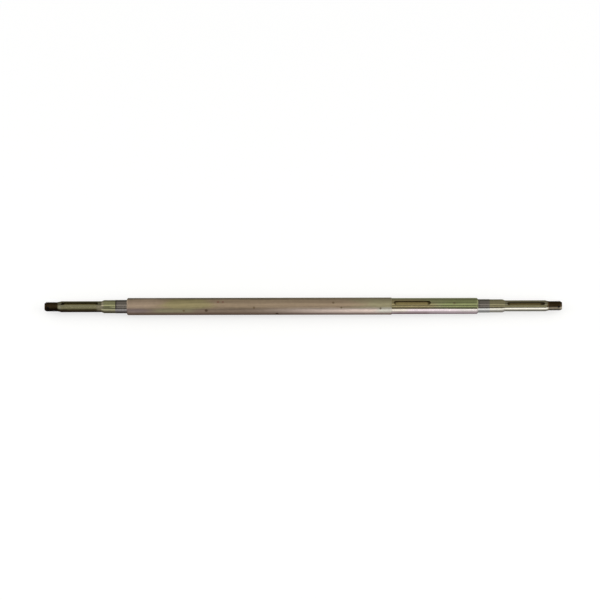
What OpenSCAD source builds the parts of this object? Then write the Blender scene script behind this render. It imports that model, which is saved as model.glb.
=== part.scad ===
// Rear axle: one solid live axle, turned from a drawn steel bar and plated all over.
// From the middle outwards each end steps down through a bearing seat and a keyed
// wheel seat to a threaded tip. The sprocket hub is keyed to the long seat on the right.
// The axle lies along X, with its middle at the origin and its sprocket keyway facing up.

/* [Bar] */
// Diameter of the drawn bar, left as it came between the shoulders
bar_d = 32; // [31.5:0.5:40]
// Length of the bar left at its full diameter
bar_len = 494.5; // [200:0.5:900]
// Chamfer on the shoulder that stops the left bearing
shoulder_chamfer = 2; // [0.5:0.25:3]

/* [Sprocket seat] */
// Diameter of the seat that carries the sprocket hub
sprocket_d = 30; // [27:0.5:31]
// Length of the sprocket seat, from the full bar to the right shoulder
sprocket_len = 161.5; // [100:0.5:300]
// Small chamfer where the full bar ends beside the sprocket seat
bar_edge = 0.5; // [0.1:0.1:0.5]

/* [Bearing seats] */
// Diameter ground for the bearing at each end
bearing_d = 25; // [22:0.5:26]
// Length of the ground part, outwards from its shoulder
bearing_len = 21.5; // [12:0.5:40]
// Radial relief of the turned land outside the ground part, so that a bearing slips over it
land_relief = 0.25; // [0.1:0.05:0.75]
// Length of the relieved land at the left end
left_land_len = 21; // [5:0.5:60]
// Length of the relieved land at the right end
right_land_len = 24; // [5:0.5:60]

/* [Wheel seats] */
// Diameter of the seat that carries each wheel hub
wheel_d = 20.5; // [19:0.25:21]
// Length of each wheel seat, with its lead-in
wheel_len = 79.5; // [76.5:0.5:150]
// Length of the lead-in cone from the thread up to the wheel seat
lead_len = 4; // [0.5:0.25:5]
// Length of the cone from the wheel seat up to the land
cone_len = 5; // [1:0.5:15]

/* [Threads] */
// Outside diameter of the thread for each wheel nut
thread_d = 18; // [16:0.5:18.5]
// Length of each threaded tip
thread_len = 27; // [15:0.5:60]
// Diameter at the very end of each tip, below the chamfer
tip_d = 13; // [9:0.5:15]
// Length of the chamfer at each tip
tip_len = 4; // [1:0.25:4.25]
// Diameter of the split-pin hole across each thread
pin_hole_d = 4; // [2:0.1:4]
// Distance of the split-pin hole from the end of the axle
pin_hole_setback = 6.5; // [6.5:0.25:12]
// Turn of the split-pin holes from the keyways, towards the front
pin_hole_turn = 37; // [0:1:90]
// Mouth of the turning centre in each end face
centre_d = 4.5; // [2:0.25:4.5]
// Included angle of the turning centres
centre_angle = 60; // [60:5:90]

/* [Keyways] */
// Width of the sprocket keyway
sprocket_key_w = 8; // [5:0.5:10]
// Depth of the sprocket keyway below the crown of its seat
sprocket_key_depth = 4; // [2:0.25:6]
// Length of the sprocket keyway, over its round ends
sprocket_key_len = 69; // [30:0.5:90]
// Plain seat between the full bar and the sprocket keyway
sprocket_key_setback = 4; // [1:0.5:8]
// Width of each wheel keyway
wheel_key_w = 6; // [4:0.5:8]
// Depth of each wheel keyway below the crown of its seat
wheel_key_depth = 3.5; // [2:0.25:5]
// Length of the left wheel keyway, over its round ends
left_key_len = 68; // [30:0.5:72]
// Length of the right wheel keyway, over its round ends
right_key_len = 70.5; // [30:0.5:72]
// Plain seat between the lead-in and each wheel keyway
wheel_key_setback = 1; // [0.5:0.25:1.5]
// Turn of the left wheel keyway from the other two, towards the back
left_key_turn = 12; // [0:1:30]

/* [Hidden] */

// Facets on a preview of the round sections
round_fn = 96;
// How far a cutter reaches past the skin that it breaks through
cut_over = 1;
// Turn of the blank's seam from straight below towards the front, clear of the keyways and holes
seam_turn = -35;
// Yellow-passivated zinc plate
plate_colour = "#8F8560";

// Radii of the stepped sections
bar_r = bar_d / 2;
sprocket_r = sprocket_d / 2;
bearing_r = bearing_d / 2;
land_r = bearing_r - land_relief;
wheel_r = wheel_d / 2;
thread_r = thread_d / 2;
tip_r = tip_d / 2;

// Stations of one end, measured inwards from its tip
wheel_key_at = thread_len + lead_len + wheel_key_setback;
wheel_end_at = thread_len + wheel_len;
land_at = wheel_end_at + cone_len;
function ground_at(land_len) = land_at + land_len;
function shoulder_at(land_len) = ground_at(land_len) + bearing_len;

// Stations along the whole axle
axle_len = shoulder_at(left_land_len) + bar_len + sprocket_len + shoulder_at(right_land_len);
left_tip_x = -axle_len / 2;
right_tip_x = axle_len / 2;
left_shoulder_x = left_tip_x + shoulder_at(left_land_len);
bar_end_x = left_shoulder_x + bar_len;
right_shoulder_x = bar_end_x + sprocket_len;
sprocket_key_x = bar_end_x + sprocket_key_setback;

// A shoulder's chamfer is never taller than the shoulder
left_chamfer = min(shoulder_chamfer, bar_r - bearing_r);
right_chamfer = min(shoulder_chamfer, sprocket_r - bearing_r);

// Height above which every cutter is clear of the axle
cut_top = max(bar_r, sprocket_r) + cut_over;
centre_depth = centre_d / 2 / tan(centre_angle / 2);

// Half section of one end, as [distance from the tip, radius]
function end_section(land_len) = [
    [0, 0],
    [0, tip_r],
    [tip_len, thread_r],
    [thread_len, thread_r],
    [thread_len + lead_len, wheel_r],
    [wheel_end_at, wheel_r],
    [land_at, land_r],
    [ground_at(land_len), land_r],
    [ground_at(land_len), bearing_r],
    [shoulder_at(land_len), bearing_r]
];

// Half section between the two shoulders, as [x, radius]
middle_section = [
    [left_shoulder_x, bar_r - left_chamfer],
    [left_shoulder_x + left_chamfer, bar_r],
    [bar_end_x - bar_edge, bar_r],
    [bar_end_x, bar_r - bar_edge],
    [bar_end_x, sprocket_r],
    [right_shoulder_x - right_chamfer, sprocket_r],
    [right_shoulder_x, sprocket_r - right_chamfer]
];

function reversed(list) = [for (i = [len(list) - 1 : -1 : 0]) list[i]];

// Whole half section, from the left tip to the right tip
half_section = concat(
    [for (p = end_section(left_land_len)) [left_tip_x + p[0], p[1]]],
    middle_section,
    reversed([for (p = end_section(right_land_len)) [right_tip_x - p[0], p[1]]])
);

// The axle as it leaves the lathe and the grinder
module turned_blank() {
    rotate([0, 90, 0])
        rotate([0, 0, seam_turn])
            rotate_extrude($fn = round_fn)
                polygon([for (p = half_section) [p[1], p[0]]]);
}

// Cutter for a keyway with round ends, milled from above: start is its left end
module keyway(start, length, width, floor_z) {
    height = cut_top - floor_z;
    first = start + width / 2;
    last = start + length - width / 2;
    translate([first, -width / 2, floor_z])
        cube([last - first, width, height]);
    for (x = [first, last])
        translate([x, 0, floor_z])
            cylinder(d = width, h = height, $fn = round_fn);
}

// Cutter for the three keyways, of which the left one is turned from the other two
module keyways() {
    wheel_floor_z = wheel_r - wheel_key_depth;
    rotate([-left_key_turn, 0, 0])
        keyway(left_tip_x + wheel_key_at, left_key_len, wheel_key_w, wheel_floor_z);
    keyway(right_tip_x - wheel_key_at - right_key_len, right_key_len, wheel_key_w, wheel_floor_z);
    keyway(sprocket_key_x, sprocket_key_len, sprocket_key_w, sprocket_r - sprocket_key_depth);
}

// Cutter for a split-pin hole right across a thread
module pin_hole(x) {
    translate([x, 0, 0])
        rotate([pin_hole_turn, 0, 0])
            cylinder(d = pin_hole_d, h = 2 * (thread_r + cut_over), center = true, $fn = round_fn);
}

// Cutter for the turning centre in the left end face
module turning_centre() {
    translate([left_tip_x, 0, 0])
        rotate([0, 90, 0])
            cylinder(d1 = centre_d, d2 = 0, h = centre_depth, $fn = round_fn);
}

module axle_shaft() {
    color(plate_colour)
        difference() {
            turned_blank();
            keyways();
            pin_hole(left_tip_x + pin_hole_setback);
            pin_hole(right_tip_x - pin_hole_setback);
            turning_centre();
            mirror([1, 0, 0])
                turning_centre();
        }
}

axle_shaft();
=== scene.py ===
"""Rear axle: a bare live axle, turned from drawn bar, keyed, threaded and zinc plated.

The shaft is turned ring by ring from its left tip to its right tip. Its threads are then cut,
its split-pin holes drilled and its keyways milled, and every stretch gets the finish that its
making left on it, with highlight and shade painted into its colour. Sizes are in millimetres in
the classes of the axle and in metres in the scene.
"""

import logging
import math
from collections.abc import Callable
from dataclasses import dataclass, field, replace
from enum import Enum
from itertools import pairwise

import bmesh
import bpy
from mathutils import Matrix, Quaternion, Vector


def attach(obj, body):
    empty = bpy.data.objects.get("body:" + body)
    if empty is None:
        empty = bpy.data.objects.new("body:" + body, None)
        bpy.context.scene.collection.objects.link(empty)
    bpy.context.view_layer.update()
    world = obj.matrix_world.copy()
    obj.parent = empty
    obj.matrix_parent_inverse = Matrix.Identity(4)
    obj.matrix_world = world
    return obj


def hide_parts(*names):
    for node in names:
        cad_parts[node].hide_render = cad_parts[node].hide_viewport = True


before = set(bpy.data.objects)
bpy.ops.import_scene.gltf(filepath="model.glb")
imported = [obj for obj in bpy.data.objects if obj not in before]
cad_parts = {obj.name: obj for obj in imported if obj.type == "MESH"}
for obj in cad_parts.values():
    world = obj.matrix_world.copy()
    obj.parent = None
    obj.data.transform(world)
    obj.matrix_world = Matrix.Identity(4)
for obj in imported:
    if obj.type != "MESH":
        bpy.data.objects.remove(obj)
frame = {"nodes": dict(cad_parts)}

log = logging.getLogger("rear_axle")

# A material's nodes, what joins them, a colour in linear light, and a tint, which is either such
# a colour or comes out of a node
Tree = bpy.types.NodeTree
Socket = bpy.types.NodeSocket
Colour = tuple[float, float, float, float]
Tint = Socket | Colour

MM = 0.001

# Height of the view above the horizon, which also fixes which side of the axle is the shown one,
# and so where round the axle the painted highlight and shade lie
VIEW_ELEVATION = math.radians(66.0)
TOWARDS_VIEW = Vector((0.0, -math.cos(VIEW_ELEVATION), math.sin(VIEW_ELEVATION)))
ACROSS_VIEW = Vector((0.0, math.sin(VIEW_ELEVATION), math.cos(VIEW_ELEVATION)))

# Stretch along X, in m, over which the plate's rougher left half, with dull painted light, turns
# into its right half, with its bright painted highlight low in front
SIDES = (-0.12, 0.12)
# Size of the clouds in the plate along and round the axle, in mm
CLOUD = (45.0, 12.0)
# How far the clouds shift the borders between tints, as a height across the axle
SWAY = 0.2
# Share of the reach of a patch or a spot that has its full tint
CORE = 0.4
# How far a spot covers the plate in its core
SPOT_COVER = 0.85
# Steps of finer grain in the clouds, in the mottling and in the lines, and the weight of each step
CLOUD_DETAIL = 3.0
MOTTLE_DETAIL = 4.0
LINE_DETAIL = 2.0
GRAIN_ROUGHNESS = 0.55
# Middle value of a grain, and how far from it most of the grain lies
GRAIN_MIDDLE = 0.5
GRAIN_SPAN = 0.25
# Strength of the relief that the tool marks give the surface
RELIEF = 0.5
# Sockets of a mix of two colours, by number because mixes of other kinds have the same names
MIX_SHARE, MIX_FIRST, MIX_SECOND, MIX_RESULT = 0, 6, 7, 2

# Corners of the section of a thread's cutter
SECTION_CORNERS = 4

# How far, in mm, the middle of a face may lie outside a slot's outline and still be in the slot
SLOT_SLACK = 0.05
# How far, in mm and at least, the middle of a face in a slot is below the crown around the slot
CROWN_SKIN = 0.06
# How nearly a slot's floor faces out of the slot, where 1 is straight out
FLOOR_FACING = 0.9


class End(Enum):
    """The two ends of the axle, each by its direction along X."""

    LEFT = -1
    RIGHT = 1


class Finish(Enum):
    """The finishes on the axle, each by the order of its material slot."""

    DRAWN_BAR = 0
    TURNED_SEAT = 1
    GROUND_SEAT = 2
    WHEEL_SEAT = 3
    LAND = 4
    THREAD = 5
    KEYWAY_FLOOR = 6
    KEYWAY_WALL = 7
    PIN_HOLE = 8


def linear(colour: str) -> Colour:
    """Turns an sRGB hex colour into linear light.

    Args:
        colour: Six hex digits after a hash sign.

    Returns:
        Red, green, blue and a full alpha.
    """
    parts = [int(colour[i : i + 2], 16) / 255 for i in (1, 3, 5)]
    lit = [p / 12.92 if p <= 0.04045 else ((p + 0.055) / 1.055) ** 2.4 for p in parts]
    return (*lit, 1.0)


def add_node(
    tree: Tree, kind: str, inputs: dict[int | str, object], **settings: object
) -> bpy.types.Node:
    """Adds one node with its settings and links.

    Args:
        tree: The node tree that it goes into.
        kind: Blender's name for the node's type.
        inputs: For each input socket, by name or number, a value or the socket that feeds it.
        settings: Properties of the node itself.

    Returns:
        The new node.
    """
    node = tree.nodes.new(kind)
    for name, value in settings.items():
        setattr(node, name, value)
    for socket, value in inputs.items():
        if isinstance(value, Socket):
            tree.links.new(value, node.inputs[socket])
        else:
            node.inputs[socket].default_value = value
    return node


def deselect_all() -> None:
    """Leaves nothing selected, so that the next operator acts only on its own piece."""
    if bpy.context.object and bpy.context.object.mode != "OBJECT":
        bpy.ops.object.mode_set(mode="OBJECT")
    bpy.ops.object.select_all(action="DESELECT")


def make_active(piece: bpy.types.Object) -> None:
    """Selects one piece alone and makes it the active one.

    Args:
        piece: The piece that the next operators act on.
    """
    deselect_all()
    piece.select_set(True)
    bpy.context.view_layer.objects.active = piece


def settle() -> None:
    """Puts the active piece's place, turn and size into its mesh."""
    bpy.ops.object.transform_apply(location=True, rotation=True, scale=True)


def face_outwards() -> None:
    """Turns all faces of the piece that is being edited outwards, and ends the edit."""
    bpy.ops.mesh.select_all(action="SELECT")
    bpy.ops.mesh.normals_make_consistent(inside=False)
    bpy.ops.object.mode_set(mode="OBJECT")


def select_points(piece: bpy.types.Object, test: Callable[[Vector], bool]) -> None:
    """Selects, in edit mode, the points whose place passes a test.

    Args:
        piece: The piece that is being edited.
        test: Says whether a point at this place is wanted.
    """
    bpy.ops.mesh.select_mode(type="VERT")
    bpy.ops.mesh.select_all(action="DESELECT")
    points = bmesh.from_edit_mesh(piece.data)
    for point in points.verts:
        point.select_set(test(point.co))
    points.select_flush_mode()
    bmesh.update_edit_mesh(piece.data)


def select_faces(piece: bpy.types.Object, test: Callable[[Vector, Vector], bool]) -> None:
    """Selects, in edit mode, the faces whose middle and normal pass a test.

    Args:
        piece: The piece that is being edited.
        test: Says whether a face with this middle and this normal is wanted.
    """
    bpy.ops.mesh.select_mode(type="FACE")
    bpy.ops.mesh.select_all(action="DESELECT")
    faces = bmesh.from_edit_mesh(piece.data)
    for face in faces.faces:
        face.select_set(test(face.calc_center_median(), face.normal))
    bmesh.update_edit_mesh(piece.data)


def cut_away(piece: bpy.types.Object, cutter: bpy.types.Object) -> None:
    """Cuts one closed shape out of another and removes the cutter.

    Args:
        piece: The piece that loses material.
        cutter: The closed shape that is cut out of it.
    """
    make_active(piece)
    bpy.ops.object.modifier_add(type="BOOLEAN")
    cut = piece.modifiers[-1]
    cut.operation = "DIFFERENCE"
    cut.solver = "EXACT"
    cut.object = cutter
    bpy.ops.object.modifier_apply(modifier=cut.name)
    spent = cutter.data
    bpy.data.objects.remove(cutter)
    bpy.data.meshes.remove(spent)


@dataclass(frozen=True)
class Ring:
    """One ring of the turned section: its place along the axle and its radius, in mm."""

    x: float
    radius: float


@dataclass(frozen=True)
class Keyway:
    """A slot with round ends, in mm, milled from above or turned from there towards the back."""

    start: float
    length: float
    width: float
    floor: float
    crown: float
    turn: float = 0.0

    def upright(self, vector: Vector) -> Vector:
        """Turns a place or a direction to where it is when the slot faces straight up."""
        return Quaternion((1.0, 0.0, 0.0), math.radians(self.turn)) @ vector

    def holds(self, place: Vector) -> bool:
        """Says whether a face is inside the slot.

        Args:
            place: The middle of the face, in m.

        Returns:
            True on the slot's floor and walls.
        """
        x, y, z = (value / MM for value in self.upright(place))
        along = self.start - SLOT_SLACK < x < self.start + self.length + SLOT_SLACK
        inside = along and abs(y) < self.width / 2 + SLOT_SLACK
        return inside and self.floor - SLOT_SLACK < z and math.hypot(y, z) < self.crown - CROWN_SKIN

    def on_floor(self, place: Vector, normal: Vector) -> bool:
        """Says whether a face, by its middle in m and its normal, is part of the slot's floor."""
        return self.holds(place) and self.upright(normal).z > FLOOR_FACING

    def near_wall(self, place: Vector, reach: float) -> bool:
        """Says whether a place in the slot is close to the slot's wall.

        Args:
            place: The place, in m.
            reach: How close is close, in mm.

        Returns:
            True within that reach of the wall.
        """
        x, y, _ = (value / MM for value in self.upright(place))
        first = self.start + self.width / 2
        last = self.start + self.length - self.width / 2
        beyond = max(first - x, x - last, 0.0)
        return math.hypot(beyond, y) > self.width / 2 - reach


@dataclass(frozen=True)
class Patch:
    """A stretch of plate with a tint of its own.

    Patches drift the plate's colour, and some are painted highlight and painted shade. A patch's
    middle and its reach along the axle are in mm. Its share is how far it covers the plate.
    """

    colour: str
    x: float
    reach: float
    share: float


@dataclass(frozen=True)
class Mark:
    """A small spot on the shown side.

    Most spots are stains; the one beside the left wheel keyway's end is painted shade. Its place
    along the axle, the radius of the axle there and its own size are in mm. Its height across the
    axle goes from -1 low in front to 1 high at the back.
    """

    colour: str
    x: float
    across: float
    radius: float
    size: float

    def spot(self) -> Vector:
        """Finds the stain's place on the surface.

        Returns:
            The place, in m.
        """
        lean = math.asin(self.across)
        spot = (TOWARDS_VIEW * math.cos(lean) + ACROSS_VIEW * math.sin(lean)) * self.radius
        spot.x = self.x
        return spot * MM


@dataclass(frozen=True)
class Surface:
    """The surface that a finish is drawn on: its nodes, its coordinates and its X, in m."""

    tree: Tree
    place: Socket
    along: Socket

    def across(self) -> Socket:
        """Measures the height across the axle.

        Returns:
            The height, from -1 low in front to 1 high at the back.
        """
        section = {0: self.place, 1: (0.0, 1.0, 1.0)}
        flat = add_node(
            self.tree, "ShaderNodeVectorMath", section, operation="MULTIPLY"
        ).outputs["Vector"]
        outward = add_node(
            self.tree, "ShaderNodeVectorMath", {0: flat}, operation="NORMALIZE"
        ).outputs["Vector"]
        return add_node(
            self.tree, "ShaderNodeVectorMath", {0: outward, 1: ACROSS_VIEW}, operation="DOT_PRODUCT"
        ).outputs["Value"]

    def grain(self, size: tuple[float, float], detail: float) -> Socket:
        """Makes an uneven pattern whose grains have a real size.

        Args:
            size: Size of a grain along and round the axle, in mm.
            detail: Steps of finer grain in it.

        Returns:
            The grain, around its middle value.
        """
        along, around = (1.0 / (length * MM) for length in size)
        scaled = add_node(
            self.tree, "ShaderNodeMapping", {"Vector": self.place, "Scale": (along, around, around)}
        ).outputs["Vector"]
        return add_node(
            self.tree,
            "ShaderNodeTexNoise",
            {"Vector": scaled, "Scale": 1.0, "Detail": detail, "Roughness": GRAIN_ROUGHNESS},
        ).outputs["Fac"]

    def tinted(
        self,
        base: Tint,
        tint: Tint,
        measure: Socket,
        border: tuple[float, float],
        most: float = 1.0,
    ) -> Socket:
        """Lets one tint come in smoothly over another.

        Args:
            base: The tint that gives way.
            tint: The tint that comes in.
            measure: What the change goes by.
            border: The measures at which the tint starts and at which it has its most.
            most: The share that it has there.

        Returns:
            The two tints, mixed.
        """
        start, full = border
        share = add_node(
            self.tree,
            "ShaderNodeMapRange",
            {"Value": measure, "From Min": start, "From Max": full, "To Max": most},
            interpolation_type="SMOOTHSTEP",
        ).outputs["Result"]
        sockets = {MIX_SHARE: share, MIX_FIRST: base, MIX_SECOND: tint}
        return add_node(self.tree, "ShaderNodeMix", sockets, data_type="RGBA").outputs[MIX_RESULT]

    def patched(self, colour: Tint, patches: tuple[Patch, ...], cloud: Socket) -> Tint:
        """Lays patches of other tints over a colour.

        Args:
            colour: The colour under the patches.
            patches: The patches, the lowest first.
            cloud: The grain that makes their borders uneven.

        Returns:
            The patched colour.
        """
        for patch in patches:
            reach = patch.reach * MM
            off = add_node(
                self.tree,
                "ShaderNodeMath",
                {0: cloud, 1: reach, 2: -patch.x * MM - reach / 2},
                operation="MULTIPLY_ADD",
            ).outputs[0]
            off = add_node(
                self.tree, "ShaderNodeMath", {0: self.along, 1: off}, operation="ADD"
            ).outputs[0]
            off = add_node(self.tree, "ShaderNodeMath", {0: off}, operation="ABSOLUTE").outputs[0]
            border = (reach, reach * CORE)
            colour = self.tinted(colour, linear(patch.colour), off, border, patch.share)
        return colour

    def spotted(self, colour: Socket, marks: tuple[Mark, ...]) -> Socket:
        """Puts small spots on a colour: stains, and a spot of painted shade.

        Args:
            colour: The colour under the spots.
            marks: The spots.

        Returns:
            The spotted colour.
        """
        for mark in marks:
            ends = {0: self.place, 1: mark.spot()}
            far = add_node(
                self.tree, "ShaderNodeVectorMath", ends, operation="DISTANCE"
            ).outputs["Value"]
            border = (mark.size * MM, mark.size * MM * CORE)
            colour = self.tinted(colour, linear(mark.colour), far, border, SPOT_COVER)
        return colour

    def varied(self, colour: Socket, grain: Socket, share: float) -> Socket:
        """Lightens and darkens a colour by a grain.

        Args:
            colour: The colour that is varied.
            grain: The pattern that it varies by.
            share: How far it goes either way, as a share of the colour.

        Returns:
            The varied colour.
        """
        gain = add_node(
            self.tree,
            "ShaderNodeMapRange",
            {
                "Value": grain,
                "From Min": GRAIN_MIDDLE - GRAIN_SPAN,
                "From Max": GRAIN_MIDDLE + GRAIN_SPAN,
                "To Min": 1.0 - share,
                "To Max": 1.0 + share,
            },
        ).outputs["Result"]
        return add_node(
            self.tree, "ShaderNodeVectorMath", {0: colour, "Scale": gain}, operation="SCALE"
        ).outputs["Vector"]


@dataclass(frozen=True)
class SteelFinish:
    """Steel with the colour and the surface that one way of working leaves on it.

    The colour drifts along the axle in patches and is mottled and streaked. Painted light
    turns it towards other tints round the axle: painted shade on the back and along the lowest
    rim, and on the underside in front a painted highlight, which on the left half of most
    finishes is painted shade instead. A pair of tints or of roughnesses is for the left and the
    right half of the axle. A field that ends in "at" gives the heights across the axle, from -1
    low in front to 1 high at the back, where a tint starts and where it is full. Patterns have
    their sizes in mm, a pair of them along and round the axle.
    """

    name: str
    colour: str
    # Painted light, each tint a pair for the left and the right half: shade on the back, a
    # highlight low in front, on the left half of most finishes shade instead, and shade along the
    # lowest rim
    back: tuple[str, str]
    under: tuple[str, str]
    rim: tuple[str, str]
    under_at: tuple[float, float]
    roughness: tuple[float, float]
    roughness_swing: float
    mottle: float
    mottle_share: float
    streak: tuple[float, float]
    streak_share: float
    groove: tuple[float, float]
    groove_depth: float
    back_at: tuple[float, float] = (0.7, 1.0)
    rim_at: tuple[float, float] = (-0.5, -0.9)
    metallic: float = 1.0
    glancing: str = "#989894"
    patches: tuple[Patch, ...] = ()
    # Patches in the painted highlight low in front and in the painted shade along the rim
    under_patches: tuple[Patch, ...] = ()
    rim_patches: tuple[Patch, ...] = ()
    marks: tuple[Mark, ...] = ()

    def material(self) -> bpy.types.Material:
        """Builds the finish as a material on Object coordinates.

        Returns:
            The material, ready for a slot.
        """
        material = bpy.data.materials.new(self.name)
        material.use_nodes = True
        tree = material.node_tree
        tree.nodes.clear()
        place = add_node(tree, "ShaderNodeTexCoord", {}).outputs["Object"]
        along = add_node(tree, "ShaderNodeSeparateXYZ", {0: place}).outputs["X"]
        surface = Surface(tree, place, along)
        streak = surface.grain(self.streak, LINE_DETAIL)
        groove = surface.grain(self.groove, LINE_DETAIL)
        relief = {"Strength": RELIEF, "Distance": self.groove_depth * MM, "Height": groove}
        shader = add_node(
            tree,
            "ShaderNodeBsdfPrincipled",
            {
                "Base Color": self._plate(surface, streak),
                "Metallic": self.metallic,
                "Roughness": self._gloss(surface, streak),
                "Specular Tint": linear(self.glancing),
                "Normal": add_node(tree, "ShaderNodeBump", relief).outputs["Normal"],
            },
        )
        add_node(tree, "ShaderNodeOutputMaterial", {"Surface": shader.outputs["BSDF"]})
        return material

    def _plate(self, surface: Surface, streak: Socket) -> Socket:
        """Colours the surface: tints and painted light, then mottling, streaks and spots.

        Args:
            surface: The surface that is coloured.
            streak: The grain of its streaks.

        Returns:
            The colour.
        """
        mottle = surface.grain((self.mottle, self.mottle), MOTTLE_DETAIL)
        colour = surface.varied(self._drift(surface), mottle, self.mottle_share)
        colour = surface.varied(colour, streak, self.streak_share)
        return surface.spotted(colour, self.marks)

    def _drift(self, surface: Surface) -> Socket:
        """Lets the colour drift along the axle and paints light round it, with uneven borders.

        Args:
            surface: The surface that is coloured.

        Returns:
            The colour before mottling, streaks and spots.
        """
        tree, cloud = surface.tree, surface.grain(CLOUD, CLOUD_DETAIL)
        back, under, rim = (
            surface.tinted(linear(left), linear(right), surface.along, SIDES)
            for left, right in (self.back, self.under, self.rim)
        )
        colour = surface.patched(linear(self.colour), self.patches, cloud)
        under = surface.patched(under, self.under_patches, cloud)
        rim = surface.patched(rim, self.rim_patches, cloud)
        across = surface.across()
        sway = add_node(
            tree, "ShaderNodeMath", {0: cloud, 1: SWAY, 2: -SWAY / 2}, operation="MULTIPLY_ADD"
        ).outputs[0]
        swayed = add_node(tree, "ShaderNodeMath", {0: across, 1: sway}, operation="ADD").outputs[0]
        # Painted light round the axle: shade on the back, a highlight low in front, on the left
        # half of most finishes shade instead, and shade along the lowest rim
        colour = surface.tinted(colour, back, swayed, self.back_at)
        colour = surface.tinted(colour, under, swayed, self.under_at)
        return surface.tinted(colour, rim, across, self.rim_at)

    def _gloss(self, surface: Surface, streak: Socket) -> Socket:
        """Sets how rough the surface is: by the half of the axle, and uneven with the streaks.

        Args:
            surface: The surface that is made rough.
            streak: The grain of its streaks.

        Returns:
            The roughness.
        """
        left, right = self.roughness
        level = add_node(
            surface.tree,
            "ShaderNodeMapRange",
            {
                "Value": surface.along,
                "From Min": SIDES[0],
                "From Max": SIDES[1],
                "To Min": left,
                "To Max": right,
            },
            interpolation_type="SMOOTHSTEP",
        ).outputs["Result"]
        swing = add_node(
            surface.tree, "ShaderNodeMath", {0: streak, 1: GRAIN_MIDDLE}, operation="SUBTRACT"
        ).outputs[0]
        return add_node(
            surface.tree,
            "ShaderNodeMath",
            {0: swing, 1: self.roughness_swing / GRAIN_SPAN, 2: level},
            operation="MULTIPLY_ADD",
        ).outputs[0]


# Zinc plate on bar as it was drawn: dull and brownish gold, with faint lines along the bar. The
# lines are 0.8 mm apart, coarser than real ones, so that they show
DRAWN_BAR = SteelFinish(
    name="zinc plate on drawn steel bar",
    colour="#94826C",
    back=("#655E50", "#7A7362"),
    under=("#7C6D5F", "#D8C6BB"),
    rim=("#66564B", "#7E6E68"),
    under_at=(-0.05, -0.42),
    roughness=(0.48, 0.4),
    roughness_swing=0.05,
    mottle=6.0,
    mottle_share=0.07,
    streak=(90.0, 3.0),
    streak_share=0.14,
    groove=(60.0, 0.8),
    groove_depth=0.02,
    patches=(
        Patch("#A08D79", -325.0, 80.0, 0.9),
        Patch("#938A62", -215.0, 55.0, 0.8),
        Patch("#928C6E", 165.0, 90.0, 0.9),
        Patch("#B0A08C", -328.4, 1.8, 0.6),
    ),
    # Patches in the painted light low in front, the last a pale painted highlight near the bar's
    # right end
    under_patches=(
        Patch("#7A6C6A", -325.0, 50.0, 0.8),
        Patch("#847E64", -240.0, 54.0, 0.85),
        Patch("#CCCABE", 158.0, 26.0, 0.9),
    ),
    marks=(
        Mark("#66563F", -223.0, -0.5, 16.0, 3.0),
        Mark("#46372A", -181.0, -0.48, 16.0, 4.0),
        Mark("#806050", -159.0, 0.52, 16.0, 3.4),
        Mark("#806050", -150.0, 0.52, 16.0, 3.0),
        Mark("#6E5C46", -92.0, -0.15, 16.0, 3.2),
        Mark("#33261B", -49.0, -0.84, 16.0, 3.8),
        Mark("#6E5C48", 56.0, 0.42, 16.0, 3.2),
        Mark("#6A5A44", 71.0, -0.16, 16.0, 2.6),
        Mark("#6A5A48", 144.0, -0.26, 16.0, 2.8),
    ),
)

# Zinc plate on the turned sprocket seat: smoother than the bar, green and gold above, with a pale
# rose painted highlight low in front and painted shade along the lowest rim, and with the tool's
# rings 0.9 mm apart, coarser than real ones, so that they show
TURNED_SEAT = SteelFinish(
    name="zinc plate on turned steel seat",
    colour="#838261",
    back=("#838469", "#838469"),
    under=("#6E6A56", "#CDBFC3"),
    rim=("#4E4A3C", "#96868C"),
    under_at=(-0.2, -0.5),
    roughness=(0.12, 0.12),
    roughness_swing=0.03,
    mottle=6.0,
    mottle_share=0.06,
    streak=(2.5, 40.0),
    streak_share=0.04,
    groove=(0.9, 60.0),
    groove_depth=0.006,
    patches=(
        Patch("#7C8258", 310.0, 90.0, 0.8),
        Patch("#8A7B58", 190.0, 60.0, 0.7),
        Patch("#A2A27E", 325.2, 1.8, 0.45),
    ),
    under_patches=(Patch("#CCC4B6", 172.0, 34.0, 0.9), Patch("#C6C0BC", 318.0, 36.0, 0.8)),
    rim_patches=(Patch("#7C686C", 200.0, 56.0, 0.9),),
    marks=(Mark("#6A6248", 282.0, 0.36, 15.0, 3.4), Mark("#DCD0CE", 273.0, -0.55, 15.0, 1.8)),
)

# Zinc plate on the lands: the same rings, but straw coloured, with a grey painted highlight
# low in front instead of the rose one, and a pale painted highlight on the left cone
LAND = replace(
    TURNED_SEAT,
    name="zinc plate on turned land",
    colour="#807A5D",
    back=("#6C6954", "#77745C"),
    under=("#88846C", "#CBC8BE"),
    rim=("#4E4A3A", "#8A877F"),
    rim_at=(-0.45, -0.8),
    patches=(Patch("#878663", -362.0, 60.0, 1.0), Patch("#9C927C", -376.0, 4.0, 0.8)),
    under_patches=(),
    rim_patches=(),
    marks=(),
)

# Bare steel ground for the bearings: grey, fine and nearly mirror bright along the grind, whose
# rings are 0.6 mm apart, coarser than real ones, so that they show
GROUND_SEAT = SteelFinish(
    name="ground bare steel",
    colour="#6C665E",
    back=("#4C4940", "#57544A"),
    under=("#7C7877", "#B8B7B6"),
    rim=("#4A4644", "#868685"),
    under_at=(-0.2, -0.5),
    rim_at=(-0.45, -0.8),
    roughness=(0.12, 0.12),
    roughness_swing=0.03,
    mottle=4.0,
    mottle_share=0.05,
    streak=(1.6, 30.0),
    streak_share=0.05,
    groove=(0.6, 60.0),
    groove_depth=0.004,
    # The first patch is a dark ring by the step down to the left land, the second painted shade in
    # the corner beside the right shoulder
    patches=(Patch("#2C2A26", -349.9, 1.8, 0.9), Patch("#3E3B36", 328.8, 2.0, 0.35)),
)

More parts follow.
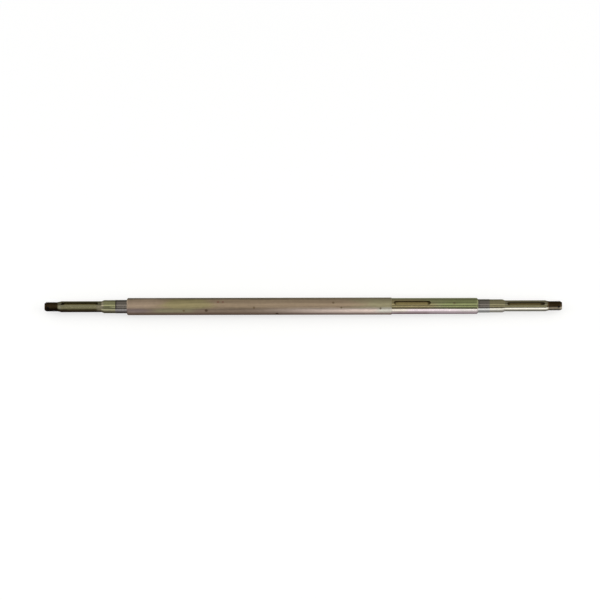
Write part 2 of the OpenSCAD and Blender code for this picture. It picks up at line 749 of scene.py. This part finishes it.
# Zinc plate on the wheel seats: straw and gold, rubbed along by the hubs that slide over them, and
# with the tool's rings 0.9 mm apart, coarser than real ones, so that they show
WHEEL_SEAT = SteelFinish(
    name="zinc plate on turned wheel seat",
    colour="#837D5E",
    back=("#625E4A", "#706B56"),
    under=("#2A2416", "#D4D0C4"),
    rim=("#342C20", "#66645A"),
    under_at=(-0.2, -0.5),
    back_at=(-0.1, 0.26),
    roughness=(0.18, 0.12),
    roughness_swing=0.04,
    mottle=7.0,
    mottle_share=0.07,
    streak=(60.0, 1.4),
    streak_share=0.05,
    groove=(0.9, 50.0),
    groove_depth=0.006,
    # Patches: the plate's colour drifting, a pale painted highlight on the left lead, a dark ring
    # on the right lead, and a pale painted highlight by the left cone
    patches=(
        Patch("#9C9672", -417.0, 80.0, 1.0),
        Patch("#A8A28C", -454.5, 3.6, 0.8),
        Patch("#4A3E2A", 456.2, 1.7, 0.9),
        Patch("#A0967E", -380.0, 8.0, 0.8),
    ),
    # Patches in the painted light low in front: less painted shade by the left cone, and a deep
    # painted shadow at the seat's left end
    under_patches=(Patch("#625C4A", -379.0, 9.0, 0.9), Patch("#120E08", -450.0, 14.0, 0.85)),
    # A spot of painted shade beside the round end of the left keyway
    marks=(Mark("#1E1810", -450.5, 0.5, 10.25, 3.4),),
)

# Plate on the threads: nearly black, partly from old oil in the grooves and partly as painted
# shade, with a pale painted highlight low in front on the right thread
THREAD = SteelFinish(
    name="oiled zinc plate on cut thread, with painted shade",
    colour="#52432C",
    back=("#2E2418", "#3A2E20"),
    under=("#241A12", "#B4AA98"),
    rim=("#1E160E", "#564E42"),
    under_at=(-0.1, -0.5),
    roughness=(0.38, 0.34),
    roughness_swing=0.06,
    mottle=3.0,
    mottle_share=0.15,
    streak=(6.0, 6.0),
    streak_share=0.1,
    groove=(2.0, 2.0),
    groove_depth=0.01,
    patches=(Patch("#20180E", -482.5, 5.0, 0.9), Patch("#2E2416", 482.5, 4.0, 0.8)),
)

# Plate on the floors of the milled keyways: dull brown gold, with painted shade at the round ends
# and the mill's marks 1.2 mm apart, coarser than real ones, so that they show
KEYWAY_FLOOR = SteelFinish(
    name="zinc plate on milled keyway floor",
    colour="#8E8056",
    back=("#5E5238", "#5E5238"),
    under=("#6A6048", "#8A7C58"),
    rim=("#6A6048", "#8A7C58"),
    under_at=(-0.15, -0.55),
    roughness=(0.4, 0.4),
    roughness_swing=0.06,
    mottle=3.0,
    mottle_share=0.12,
    streak=(2.0, 8.0),
    streak_share=0.08,
    groove=(1.2, 8.0),
    groove_depth=0.01,
    patches=(
        Patch("#787048", -417.0, 60.0, 1.0),
        Patch("#685C3C", 417.0, 60.0, 1.0),
        Patch("#2C2414", -450.0, 5.0, 0.9),
        Patch("#4A4028", -385.0, 5.0, 0.8),
        Patch("#3A3020", 170.5, 4.0, 0.6),
        Patch("#342A18", 236.5, 6.0, 0.75),
        Patch("#2C2414", 384.0, 4.0, 0.6),
        Patch("#2C2414", 448.0, 6.0, 0.9),
    ),
)

# Plate on the walls of the keyways and on the border of their floors, darkened as painted shade,
# which the eye sees as a dark outline round each slot
KEYWAY_WALL = replace(
    KEYWAY_FLOOR,
    name="zinc plate on milled keyway wall in painted shade",
    colour="#4A3E24",
    back=("#3E341E", "#3E341E"),
    under=("#3E341E", "#4A3E24"),
    rim=("#3E341E", "#4A3E24"),
    roughness=(0.55, 0.55),
    patches=(),
)

# The walls of the split-pin holes, matt black as painted shade, which makes each hole a black spot
PIN_HOLE = replace(
    THREAD,
    name="drilled hole wall in painted shade",
    colour="#120C07",
    back=("#120C07", "#120C07"),
    under=("#120C07", "#120C07"),
    rim=("#120C07", "#120C07"),
    roughness=(0.8, 0.8),
    metallic=0.0,
    patches=(),
)

FINISHES: dict[Finish, SteelFinish] = {
    Finish.DRAWN_BAR: DRAWN_BAR,
    Finish.TURNED_SEAT: TURNED_SEAT,
    Finish.GROUND_SEAT: GROUND_SEAT,
    Finish.WHEEL_SEAT: WHEEL_SEAT,
    Finish.LAND: LAND,
    Finish.THREAD: THREAD,
    Finish.KEYWAY_FLOOR: KEYWAY_FLOOR,
    Finish.KEYWAY_WALL: KEYWAY_WALL,
    Finish.PIN_HOLE: PIN_HOLE,
}


@dataclass
class AxleShaft:
    """The whole axle, one piece of steel, with its sizes in mm and its angles in degrees."""

    # The full bar and the sprocket seat beside it
    bar_d: float = 32.0
    bar_len: float = 494.5
    bar_edge: float = 0.5
    shoulder_chamfer: float = 2.0
    sprocket_d: float = 30.0
    sprocket_len: float = 161.5
    # The bearing seats, and the lands outside them, which are turned a little thinner
    bearing_d: float = 25.0
    bearing_len: float = 21.5
    land_relief: float = 0.25
    land_len: dict[End, float] = field(default_factory=lambda: {End.LEFT: 21.0, End.RIGHT: 24.0})
    # The wheel seats, each with a lead from its thread and a cone up to its land
    wheel_d: float = 20.5
    wheel_len: float = 79.5
    lead_len: float = 4.0
    cone_len: float = 5.0
    # The threads, with the depth and the mouth of their groove as shares of the pitch, and the
    # stretch from each tip that is dark with old oil and painted shade
    thread_d: float = 18.0
    thread_len: float = 27.0
    thread_pitch: float = 1.5
    thread_run_out: float = 0.5
    thread_depth: float = 0.613
    thread_mouth: float = 0.875
    thread_flank: float = 30.0
    oil_and_shade_len: dict[End, float] = field(default_factory=lambda: {End.LEFT: 25.5, End.RIGHT: 27.0})
    # The tips, with their turning centres and their split-pin holes
    tip_d: float = 13.0
    tip_len: float = 4.0
    centre_d: float = 4.5
    centre_floor_d: float = 0.5
    centre_angle: float = 60.0
    pin_hole_d: float = 4.0
    pin_hole_setback: float = 6.5
    pin_hole_turn: float = 37.0
    # The keyways, and the border of painted shade on their floors along the walls
    sprocket_key_w: float = 8.0
    sprocket_key_depth: float = 4.0
    sprocket_key_len: float = 69.0
    sprocket_key_setback: float = 4.0
    wheel_key_w: float = 6.0
    wheel_key_depth: float = 3.5
    wheel_key_len: dict[End, float] = field(
        default_factory=lambda: {End.LEFT: 68.0, End.RIGHT: 70.5}
    )
    wheel_key_setback: float = 1.0
    left_key_turn: float = 12.0
    wall_shade_width: float = 0.5
    # Facets of the shaft, of a mill or a drill, and of one turn of a thread
    facets: int = 144
    cutter_facets: int = 48
    thread_steps: int = 72
    # How far the cutters stand out of the steel, and how far the thread's cutter is lifted clear
    cut_over: float = 1.0
    thread_over: float = 0.1
    thread_clear: float = 0.05
    # Points and slivers closer than this are merged, and edges flatter than this are smoothed
    merge_gap: float = 0.002
    sliver: float = 0.001
    smooth_angle: float = 25.0
    # How far a face's middle may be off a hole's wall or a stretch's end and still belong to it
    hole_slack: float = 0.02
    edge_slack: float = 0.01

    def shoulder_at(self, end: End) -> float:
        """Gives the distance from a tip to the shoulder behind its bearing seat."""
        wheel_part = self.thread_len + self.wheel_len + self.cone_len
        return wheel_part + self.land_len[end] + self.bearing_len

    @property
    def half_len(self) -> float:
        """Half the length of the axle, which is also where each tip ends."""
        ends = self.shoulder_at(End.LEFT) + self.shoulder_at(End.RIGHT)
        return (ends + self.bar_len + self.sprocket_len) / 2

    @property
    def bar_start(self) -> float:
        """The left shoulder, where the full bar starts."""
        return -self.half_len + self.shoulder_at(End.LEFT)

    @property
    def bar_end(self) -> float:
        """Where the full bar ends beside the sprocket seat."""
        return self.bar_start + self.bar_len

    def keyways(self) -> list[Keyway]:
        """Places the three keyways, of which the left one is turned from the other two.

        Returns:
            The left wheel keyway, the sprocket keyway and the right wheel keyway.
        """
        outer = self.half_len - self.thread_len - self.lead_len - self.wheel_key_setback
        crown = self.wheel_d / 2
        floor = crown - self.wheel_key_depth
        left_len, right_len = self.wheel_key_len[End.LEFT], self.wheel_key_len[End.RIGHT]
        seat_crown = self.sprocket_d / 2
        return [
            Keyway(-outer, left_len, self.wheel_key_w, floor, crown, self.left_key_turn),
            Keyway(
                self.bar_end + self.sprocket_key_setback,
                self.sprocket_key_len,
                self.sprocket_key_w,
                seat_crown - self.sprocket_key_depth,
                seat_crown,
            ),
            Keyway(outer - right_len, right_len, self.wheel_key_w, floor, crown),
        ]

    def end_rings(self, end: End) -> list[Ring]:
        """Gives the rings of one end, from the floor of its turning centre to its shoulder.

        Args:
            end: The end that is meant.

        Returns:
            The rings, with X counted inwards from the tip.
        """
        slope = math.tan(math.radians(self.centre_angle / 2))
        centre_depth = (self.centre_d - self.centre_floor_d) / 2 / slope
        wheel_end = self.thread_len + self.wheel_len
        land = wheel_end + self.cone_len
        ground = land + self.land_len[end]
        land_r = self.bearing_d / 2 - self.land_relief
        return [
            Ring(centre_depth, self.centre_floor_d / 2),
            Ring(0.0, self.centre_d / 2),
            Ring(0.0, self.tip_d / 2),
            Ring(self.tip_len, self.thread_d / 2),
            Ring(self.thread_len, self.thread_d / 2),
            Ring(self.thread_len + self.lead_len, self.wheel_d / 2),
            Ring(wheel_end, self.wheel_d / 2),
            Ring(land, land_r),
            Ring(ground, land_r),
            Ring(ground, self.bearing_d / 2),
            Ring(self.shoulder_at(end), self.bearing_d / 2),
        ]

    def rings(self) -> list[Ring]:
        """Gives the rings of the whole axle.

        Returns:
            The rings, from the left tip to the right tip.
        """
        left = [Ring(ring.x - self.half_len, ring.radius) for ring in self.end_rings(End.LEFT)]
        right = [Ring(self.half_len - ring.x, ring.radius) for ring in self.end_rings(End.RIGHT)]
        bar_r, seat_r = self.bar_d / 2, self.sprocket_d / 2
        seat_end = self.bar_end + self.sprocket_len
        middle = [
            Ring(self.bar_start, bar_r - self.shoulder_chamfer),
            Ring(self.bar_start + self.shoulder_chamfer, bar_r),
            Ring(self.bar_end - self.bar_edge, bar_r),
            Ring(self.bar_end, bar_r - self.bar_edge),
            Ring(self.bar_end, seat_r),
            Ring(seat_end - self.shoulder_chamfer, seat_r),
            Ring(seat_end, seat_r - self.shoulder_chamfer),
        ]
        return [*left, *middle, *reversed(right)]

    def turn(self) -> bpy.types.Object:
        """Turns the plain stepped shaft, by drawing one ring out from the last.

        Returns:
            The closed shaft, without threads, keyways or holes.
        """
        rings = self.rings()
        deselect_all()
        bpy.ops.mesh.primitive_circle_add(
            vertices=self.facets,
            radius=rings[0].radius * MM,
            fill_type="NGON",
            location=(rings[0].x * MM, 0.0, 0.0),
            rotation=(0.0, math.pi / 2, 0.0),
        )
        shaft = bpy.context.object
        shaft.name = shaft.data.name = "rear_axle_shaft"
        settle()
        bpy.ops.object.mode_set(mode="EDIT")
        bpy.ops.mesh.select_all(action="SELECT")
        for last, ring in pairwise(rings):
            bpy.ops.mesh.extrude_region_move(
                TRANSFORM_OT_translate={"value": ((ring.x - last.x) * MM, 0.0, 0.0)}
            )
            grown = ring.radius / last.radius
            bpy.ops.transform.resize(
                value=(1.0, grown, grown), center_override=(ring.x * MM, 0.0, 0.0)
            )
        face_outwards()
        return shaft

    def thread_section(self) -> bpy.types.Object:
        """Draws the section of the left thread's cutter, a pitch out from the tip.

        Returns:
            An outline of four corners, narrow side inwards.
        """
        over, depth = self.thread_over, self.thread_depth * self.thread_pitch
        flare = 2 * math.tan(math.radians(self.thread_flank))
        mouth = self.thread_mouth * self.thread_pitch
        outer, inner = mouth + over * flare, mouth - depth * flare
        start = -self.half_len - self.thread_pitch
        middle = self.thread_d / 2 + (over - depth) / 2
        deselect_all()
        bpy.ops.mesh.primitive_plane_add(size=1.0, rotation=(math.pi / 2, 0.0, 0.0))
        section = bpy.context.object
        settle()
        bpy.ops.object.mode_set(mode="EDIT")
        bpy.ops.mesh.select_all(action="SELECT")
        size = (outer * MM, 1.0, (over + depth) * MM)
        bpy.ops.transform.resize(value=size, center_override=(0.0, 0.0, 0.0))
        select_points(section, lambda place: place.z < 0.0)
        narrowed = (inner / outer, 1.0, 1.0)
        bpy.ops.transform.resize(value=narrowed, center_override=(0.0, 0.0, 0.0))
        bpy.ops.mesh.select_all(action="SELECT")
        bpy.ops.transform.translate(value=(start * MM, 0.0, middle * MM))
        bpy.ops.mesh.delete(type="ONLY_FACE")
        bpy.ops.object.mode_set(mode="OBJECT")
        return section

    def thread_cutter(self) -> bpy.types.Object:
        """Winds the cutter for the left thread, which leaves the steel over its last half turn.

        Returns:
            A closed helical bar, narrow side inwards.
        """
        cutter = self.thread_section()
        bpy.ops.object.modifier_add(type="SCREW")
        wind = cutter.modifiers[-1]
        wind.axis = "X"
        wind.angle = 2 * math.pi
        wind.screw_offset = self.thread_pitch * MM
        wind.iterations = int((self.thread_len - self.thread_run_out) / self.thread_pitch) + 1
        wind.steps = wind.render_steps = self.thread_steps
        wind.use_merge_vertices = False
        bpy.ops.object.modifier_apply(modifier=wind.name)
        self.lift_run_out(cutter)
        bpy.ops.object.mode_set(mode="EDIT")
        bpy.ops.mesh.select_all(action="SELECT")
        bpy.ops.mesh.fill_holes(sides=SECTION_CORNERS)
        face_outwards()
        return cutter

    def lift_run_out(self, cutter: bpy.types.Object) -> None:
        """Lifts the last half turn of a thread's cutter out of the steel, step by step.

        Args:
            cutter: The helical bar, wound from the tip inwards.
        """
        crest = self.thread_d / 2
        root = crest - self.thread_depth * self.thread_pitch
        clear = crest + self.thread_clear
        points = cutter.data.vertices
        steps = self.thread_steps // 2
        for step in range(steps + 1):
            grown = 1.0 + (clear / root - 1.0) * step / steps
            first = len(points) - SECTION_CORNERS * (steps + 1 - step)
            for point in points[first : first + SECTION_CORNERS]:
                point.co.y *= grown
                point.co.z *= grown

    def cut_threads(self, shaft: bpy.types.Object) -> None:
        """Cuts the thread on each tip, the right one as the left one turned end for end.

        Args:
            shaft: The shaft that they are cut into.
        """
        cutter = self.thread_cutter()
        turned = cutter.copy()
        turned.data = cutter.data.copy()
        bpy.context.collection.objects.link(turned)
        make_active(turned)
        turned.rotation_euler = (0.0, 0.0, math.pi)
        settle()
        cut_away(shaft, cutter)
        cut_away(shaft, turned)

    def drill_pin_holes(self, shaft: bpy.types.Object) -> None:
        """Drills the split-pin hole across each thread.

        Args:
            shaft: The shaft that they are drilled into.
        """
        for end in End:
            deselect_all()
            bpy.ops.mesh.primitive_cylinder_add(
                vertices=self.cutter_facets,
                radius=self.pin_hole_d / 2 * MM,
                depth=(self.thread_d + 2 * self.cut_over) * MM,
                location=(end.value * (self.half_len - self.pin_hole_setback) * MM, 0.0, 0.0),
                rotation=(math.radians(self.pin_hole_turn), 0.0, 0.0),
            )
            cutter = bpy.context.object
            settle()
            cut_away(shaft, cutter)

    def mill_keyways(self, shaft: bpy.types.Object) -> None:
        """Mills the three keyways, with flats of the mill and not its corners along their walls.

        Args:
            shaft: The shaft that they are milled into.
        """
        half_facet = math.pi / self.cutter_facets
        top = self.bar_d / 2 + self.cut_over
        for key in self.keyways():
            radius = key.width / 2 / math.cos(half_facet)
            first = key.start + key.width / 2
            deselect_all()
            bpy.ops.mesh.primitive_cylinder_add(
                vertices=self.cutter_facets,
                radius=radius * MM,
                depth=(top - key.floor) * MM,
                location=(first * MM, 0.0, (top + key.floor) / 2 * MM),
                rotation=(0.0, 0.0, half_facet),
            )
            cutter = bpy.context.object
            settle()
            bpy.ops.object.mode_set(mode="EDIT")
            select_points(cutter, lambda place, first=first: place.x > first * MM)
            bpy.ops.transform.translate(value=((key.length - key.width) * MM, 0.0, 0.0))
            bpy.ops.object.mode_set(mode="OBJECT")
            cutter.rotation_euler = (-math.radians(key.turn), 0.0, 0.0)
            settle()
            cut_away(shaft, cutter)

    def line_keyways(self, shaft: bpy.types.Object) -> None:
        """Sets off a narrow border on each keyway's floor along the wall, for the wall's painted
        shade.

        Args:
            shaft: The shaft with its keyways.
        """
        make_active(shaft)
        bpy.ops.object.mode_set(mode="EDIT")
        for key in self.keyways():
            select_faces(shaft, key.on_floor)
            bpy.ops.mesh.inset(thickness=self.wall_shade_width * MM)
        bpy.ops.object.mode_set(mode="OBJECT")

    def clean(self, shaft: bpy.types.Object) -> None:
        """Merges doubled points, turns all faces outwards and smooths the round ones.

        Args:
            shaft: The shaft, cut, drilled and milled.
        """
        make_active(shaft)
        bpy.ops.object.mode_set(mode="EDIT")
        bpy.ops.mesh.select_all(action="SELECT")
        bpy.ops.mesh.remove_doubles(threshold=self.merge_gap * MM)
        bpy.ops.mesh.dissolve_degenerate(threshold=self.sliver * MM)
        face_outwards()
        bpy.ops.object.shade_smooth_by_angle(angle=math.radians(self.smooth_angle))

    def in_pin_hole(self, place: Vector) -> bool:
        """Says whether a face near a tip is on the wall of a split-pin hole.

        Args:
            place: The middle of the face, in m.

        Returns:
            True on the wall of either hole.
        """
        turn = math.radians(self.pin_hole_turn)
        off = abs(place.x) / MM - self.half_len + self.pin_hole_setback
        beside = (place.y * math.cos(turn) + place.z * math.sin(turn)) / MM
        return math.hypot(off, beside) < self.pin_hole_d / 2 + self.hole_slack

    def finish_at(self, place: Vector, normal: Vector) -> Finish:
        """Names the finish of a face by where its middle is and where it faces.

        Args:
            place: The middle of the face, in m.
            normal: The direction that the face looks in.

        Returns:
            The finish that its stretch of the axle has.
        """
        x = place.x / MM
        end = End.LEFT if x < 0 else End.RIGHT
        inwards = self.half_len - abs(x)
        for key in self.keyways():
            if key.holds(place):
                # Walls and the floor's border beside them take the wall's painted shade
                clean = key.on_floor(place, normal) and not key.near_wall(place, self.wall_shade_width)
                return Finish.KEYWAY_FLOOR if clean else Finish.KEYWAY_WALL
        if inwards < self.oil_and_shade_len[end]:
            return Finish.PIN_HOLE if self.in_pin_hole(place) else Finish.THREAD
        if inwards < self.thread_len + self.wheel_len:
            return Finish.WHEEL_SEAT
        if inwards < self.shoulder_at(end) - self.bearing_len:
            return Finish.LAND
        if inwards < self.shoulder_at(end) - self.edge_slack:
            return Finish.GROUND_SEAT
        return Finish.DRAWN_BAR if x < self.bar_end - self.edge_slack else Finish.TURNED_SEAT

    def dress(self, shaft: bpy.types.Object) -> None:
        """Gives each stretch of the axle its finish.

        Args:
            shaft: The finished shape.
        """
        shaft.data.materials.clear()
        for finish in Finish:
            shaft.data.materials.append(FINISHES[finish].material())
        make_active(shaft)
        bpy.ops.object.mode_set(mode="EDIT")
        for finish in Finish:
            select_faces(
                shaft, lambda place, normal, finish=finish: self.finish_at(place, normal) is finish
            )
            shaft.active_material_index = finish.value
            bpy.ops.object.material_slot_assign()
        bpy.ops.object.mode_set(mode="OBJECT")

    def build(self) -> bpy.types.Object:
        """Builds and dresses the axle.

        Returns:
            The finished piece.
        """
        shaft = self.turn()
        self.cut_threads(shaft)
        self.drill_pin_holes(shaft)
        self.mill_keyways(shaft)
        self.line_keyways(shaft)
        self.clean(shaft)
        self.dress(shaft)
        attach(shaft, "root")
        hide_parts("axle_shaft")
        return shaft


@dataclass(frozen=True)
class Softbox:
    """A soft lamp: its size and place in m, the point it faces and its power in W."""

    name: str
    size: tuple[float, float]
    place: tuple[float, float, float]
    aim: tuple[float, float, float]
    power: float

    def hang(self) -> bpy.types.Object:
        """Hangs the lamp in its place, where it lights the axle but isn't seen itself.

        Returns:
            The lamp's object.
        """
        lamp = bpy.data.lights.new(self.name, "AREA")
        lamp.shape = "RECTANGLE"
        lamp.size, lamp.size_y = self.size
        lamp.energy = self.power
        holder = bpy.data.objects.new(self.name, lamp)
        holder.location = self.place
        away = Vector(self.aim) - Vector(self.place)
        holder.rotation_mode = "QUATERNION"
        holder.rotation_quaternion = away.to_track_quat("-Z", "Y")
        holder.visible_camera = False
        bpy.context.collection.objects.link(holder)
        return holder


@dataclass
class Studio:
    """The pale floor, the soft light and the camera, with their sizes in m."""

    # Height of what rests on the floor, and the hair's breadth that the floor is below it
    floor_z: float
    floor_gap: float = 0.0001
    floor_size: float = 40.0
    floor_colour: str = "#FAFAF8"
    # Half the length that shades the floor, how far beside it the floor's glow starts to rise and
    # is full, and the share of the glow at both
    shade_half_len: float = 0.45
    shade_reach: tuple[float, float] = (0.03, 0.25)
    glow_share: tuple[float, float] = (0.6, 0.9)
    # Shades of the room, each by how far towards the back it is, from -1 in front to 1 behind
    room: tuple[tuple[float, str], ...] = (
        (0.3, "#B6B6B4"),
        (0.56, "#DCDCDA"),
        (0.88, "#DCDCDA"),
        (1.0, "#9C9C9A"),
    )
    # The camera's distance, the mm to each pixel of a picture this many pixels wide, how many
    # pixels right and down the axle's middle is in it, and the camera's roll in degrees
    distance: float = 6.0
    scale: float = 1.87
    picture: int = 600
    offset: tuple[float, float] = (3.25, 6.27)
    roll: float = 0.12
    # The camera's sensor in mm, and the nearest and the furthest that it sees
    sensor: float = 36.0
    clip: tuple[float, float] = (0.05, 100.0)
    softboxes: tuple[Softbox, ...] = (
        Softbox("low front", (0.6, 0.21), (0.42, -0.6, 0.1), (0.42, 0.0, 0.1), 0.52),
        Softbox("low front left", (0.8, 0.21), (-0.46, -0.6, 0.1), (-0.46, 0.0, 0.1), 0.56),
        Softbox("over the axle", (3.4, 0.66), (0.0, 0.0, 1.5), (0.0, 0.0, 0.0), 6.3),
        Softbox("high front", (3.0, 0.42), (0.6, -1.3, 2.1), (0.6, 0.0, 0.0), 4.8),
        Softbox("left side", (3.0, 2.0), (-2.6, -0.2, 1.6), (0.0, 0.0, 0.0), 38.0),
        Softbox("right side", (3.0, 2.0), (2.6, -0.2, 1.6), (0.0, 0.0, 0.0), 38.0),
    )

    def floor(self) -> bpy.types.Object:
        """Lays the pale floor that the bar rests on.

        Returns:
            The floor.
        """
        deselect_all()
        bpy.ops.mesh.primitive_plane_add(
            size=self.floor_size, location=(0.0, 0.0, self.floor_z - self.floor_gap)
        )
        floor = bpy.context.object
        floor.name = floor.data.name = "studio_floor"
        settle()
        floor.data.materials.append(self.floor_paint())
        return floor

    def floor_paint(self) -> bpy.types.Material:
        """Mixes the floor's matt white paint.

        To the eye, and in the axle, it also glows, so that it looks plain white. The glow is
        weaker beside the axle, where the soft shadow stays.

        Returns:
            The material, ready for a slot.
        """
        material = bpy.data.materials.new("matt white painted floor")
        material.use_nodes = True
        tree = material.node_tree
        tree.nodes.clear()
        paint = add_node(
            tree, "ShaderNodeBsdfDiffuse", {"Color": linear(self.floor_colour), "Roughness": 0.0}
        ).outputs[0]
        glow = add_node(
            tree, "ShaderNodeEmission", {"Color": linear("#FFFFFF"), "Strength": 1.0}
        ).outputs[0]
        share = add_node(
            tree,
            "ShaderNodeMath",
            {0: self._seen(tree), 1: self._clear_of_axle(tree)},
            operation="MULTIPLY",
        ).outputs[0]
        mixed = add_node(tree, "ShaderNodeMixShader", {0: share, 1: paint, 2: glow}).outputs[0]
        add_node(tree, "ShaderNodeOutputMaterial", {"Surface": mixed})
        return material

    def _seen(self, tree: Tree) -> Socket:
        """Tells what the eye sees, straight, mirrored or through glass, from what lights the axle.

        Args:
            tree: The floor's node tree.

        Returns:
            1 where the floor is seen and 0 where it only throws light.
        """
        ray = add_node(tree, "ShaderNodeLightPath", {}).outputs
        seen = ray["Is Camera Ray"]
        for other in (ray["Is Glossy Ray"], ray["Is Transmission Ray"]):
            seen = add_node(
                tree, "ShaderNodeMath", {0: seen, 1: other}, operation="ADD", use_clamp=True
            ).outputs[0]
        return seen

    def _clear_of_axle(self, tree: Tree) -> Socket:
        """Measures how clear of the axle a place on the floor is.

        Args:
            tree: The floor's node tree.

        Returns:
            The share of the glow that the place has.
        """
        place = add_node(tree, "ShaderNodeTexCoord", {}).outputs["Object"]
        off = add_node(tree, "ShaderNodeVectorMath", {0: place}, operation="ABSOLUTE").outputs[0]
        off = add_node(
            tree,
            "ShaderNodeVectorMath",
            {0: off, 1: (self.shade_half_len, 0.0, 0.0)},
            operation="SUBTRACT",
        ).outputs[0]
        beyond, beside = add_node(tree, "ShaderNodeSeparateXYZ", {0: off}).outputs[:2]
        far = add_node(
            tree, "ShaderNodeMath", {0: beyond, 1: beside}, operation="MAXIMUM"
        ).outputs[0]
        near, clear = self.shade_reach
        least, most = self.glow_share
        return add_node(
            tree,
            "ShaderNodeMapRange",
            {"Value": far, "From Min": near, "From Max": clear, "To Min": least, "To Max": most},
            interpolation_type="SMOOTHSTEP",
        ).outputs["Result"]

    def lights(self) -> None:
        """Hangs the soft lamps and sets the light of the room."""
        for box in self.softboxes:
            box.hang()
        bpy.context.scene.world = self.pale_room()

    def pale_room(self) -> bpy.types.World:
        """Shades the room from front to back.

        Returns:
            The world that lights the axle from all round.
        """
        world = bpy.data.worlds.new("pale room")
        world.use_nodes = True
        tree = world.node_tree
        tree.nodes.clear()
        way = add_node(tree, "ShaderNodeTexCoord", {}).outputs["Generated"]
        back = add_node(tree, "ShaderNodeSeparateXYZ", {0: way}).outputs["Y"]
        level = add_node(
            tree, "ShaderNodeMapRange", {"Value": back, "From Min": -1.0}
        ).outputs["Result"]
        shade = add_node(tree, "ShaderNodeValToRGB", {"Fac": level})
        stops = shade.color_ramp.elements
        stops.remove(stops[1])
        for reach, colour in self.room:
            stops.new((reach + 1) / 2).color = linear(colour)
        stops[0].color = linear(self.room[0][1])
        light = add_node(
            tree, "ShaderNodeBackground", {"Color": shade.outputs["Color"], "Strength": 1.0}
        ).outputs[0]
        add_node(tree, "ShaderNodeOutputWorld", {"Surface": light})
        return world

    def camera(self) -> bpy.types.Object:
        """Stands the camera where the axle fills the picture as it should.

        Returns:
            The camera object.
        """
        lens = bpy.data.cameras.new("studio_camera")
        lens.sensor_width = self.sensor
        lens.lens = self.distance / MM * self.sensor / self.picture / self.scale
        lens.clip_start, lens.clip_end = self.clip
        holder = bpy.data.objects.new("studio_camera", lens)
        bpy.context.collection.objects.link(holder)
        right, down = (pixels * self.scale * MM for pixels in self.offset)
        aim = Vector((-right, 0.0, 0.0)) + ACROSS_VIEW * down
        holder.location = aim + TOWARDS_VIEW * self.distance
        level = (-TOWARDS_VIEW).to_track_quat("-Z", "Y")
        holder.rotation_mode = "QUATERNION"
        holder.rotation_quaternion = level @ Quaternion((0.0, 0.0, 1.0), -math.radians(self.roll))
        bpy.context.scene.camera = holder
        return holder


def main() -> None:
    """Builds the axle and the studio."""
    logging.basicConfig(level=logging.INFO, format="%(message)s")
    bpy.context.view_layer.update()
    log.info("nodes in the frame: %s", ", ".join(frame["nodes"]))
    axle = AxleShaft()
    studio = Studio(floor_z=-axle.bar_d / 2 * MM)
    studio.camera()
    studio.floor()
    studio.lights()
    shaft = axle.build()
    log.info("%s: %d faces", shaft.name, len(shaft.data.polygons))
    bpy.context.scene.view_settings.view_transform = "Standard"


if __name__ == "__main__":
    main()
